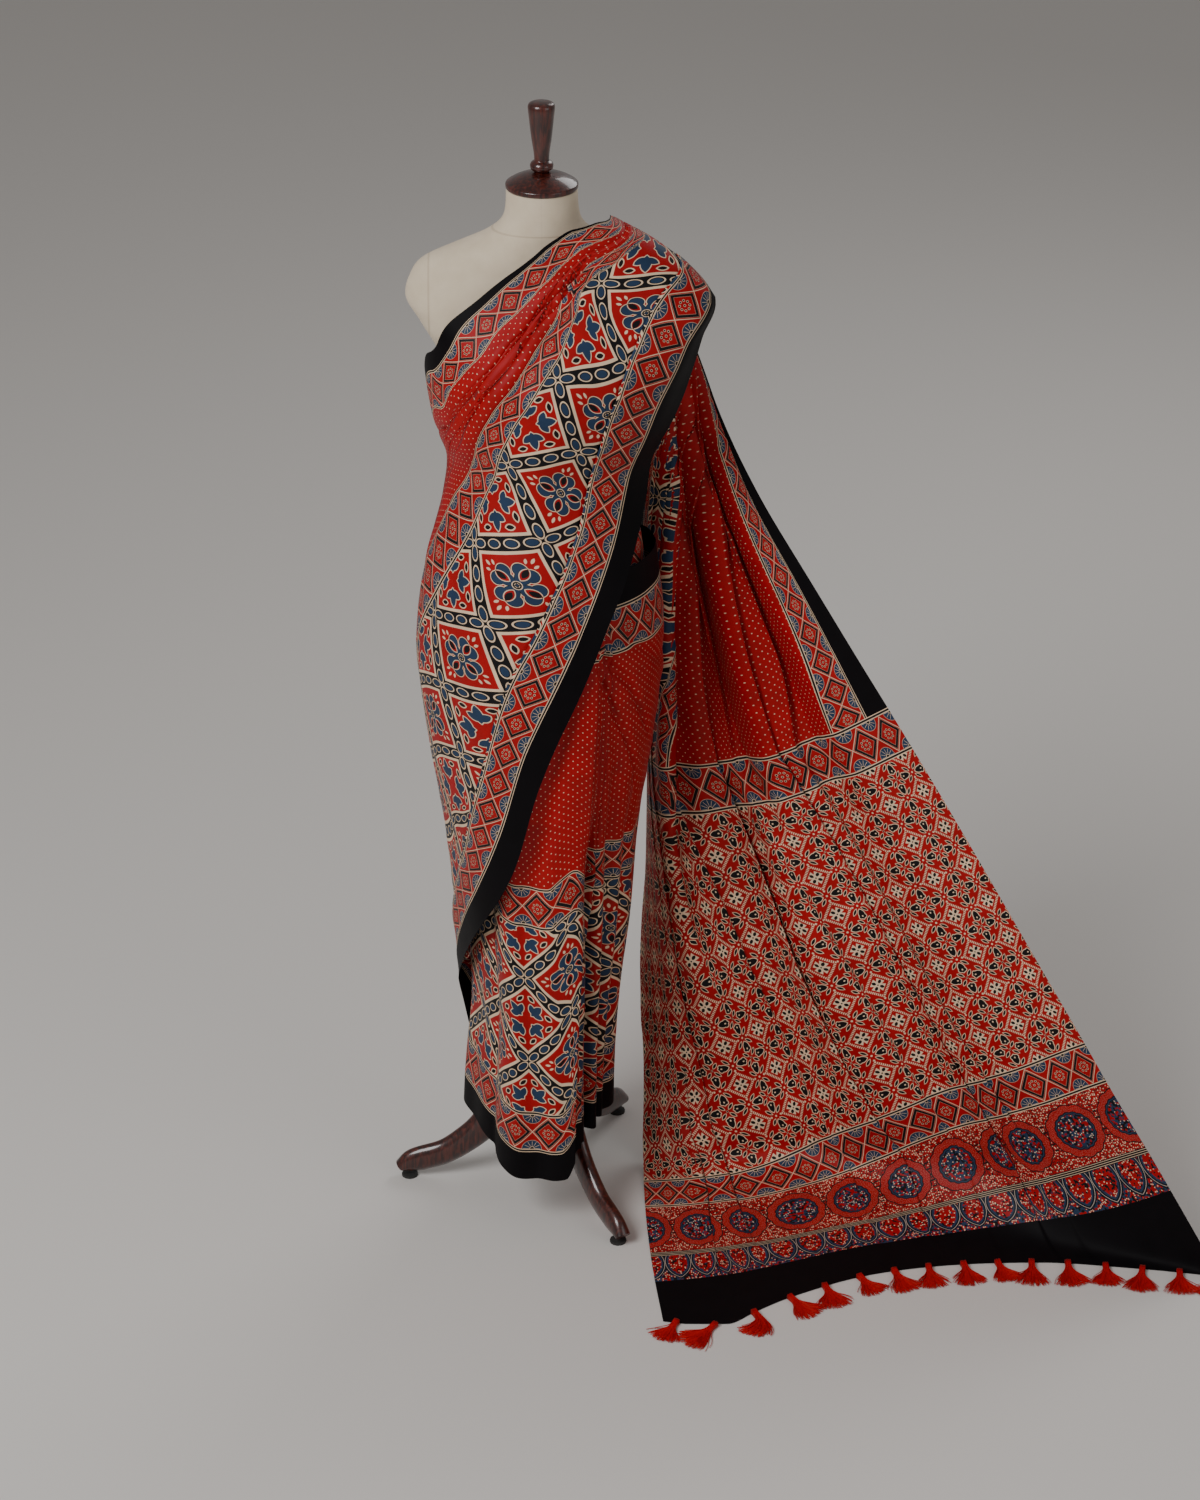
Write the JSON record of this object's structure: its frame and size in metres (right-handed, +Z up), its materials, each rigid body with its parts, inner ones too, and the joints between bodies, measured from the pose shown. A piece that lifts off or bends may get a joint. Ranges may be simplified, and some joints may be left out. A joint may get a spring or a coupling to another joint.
{
  "type": "ajrakh saree on a dress form",
  "caption": "Printed ajrakh saree wrapped, pleated and drawn over one shoulder of a cloth-covered dress form on a tripod, its tasselled end spread on the floor.",
  "frame": {"origin": "on the floor, under the middle of the whole outline", "axes": "+Z up, -Y towards the front of the dress form, +X towards the side where the end of the saree lies"},
  "size_m": [1.2056, 0.6442, 1.66],
  "materials": {
    "ajrakh_print": "soft block-printed cloth with a slight sheen, red, indigo, black and cream; fibre not known",
    "tassel_thread": "bright red thread; fibre not known",
    "form_canvas": "cream plain-weave cover cloth",
    "dark_wood": "dark red-brown gloss varnish",
    "foot_pads": "matt black pads; material guessed"
  },
  "bodies": {
    "root": {"form_torso": "form_canvas", "neck_cap": "dark_wood", "cap_handle": "dark_wood", "pole": "dark_wood", "hub": "dark_wood", "leg_right": "dark_wood", "leg_front": "dark_wood", "leg_back": "dark_wood", "foot_right": "foot_pads", "foot_front": "foot_pads", "foot_back": "foot_pads", "saree": "ajrakh_print", "tassel_01": "tassel_thread", "tassel_02": "tassel_thread", "tassel_03": "tassel_thread", "tassel_04": "tassel_thread", "tassel_05": "tassel_thread", "tassel_06": "tassel_thread", "tassel_07": "tassel_thread", "tassel_08": "tassel_thread", "tassel_09": "tassel_thread", "tassel_10": "tassel_thread", "tassel_11": "tassel_thread", "tassel_12": "tassel_thread", "tassel_13": "tassel_thread", "tassel_14": "tassel_thread", "tassel_15": "tassel_thread", "tassel_16": "tassel_thread"}
  },
  "joints": []
}
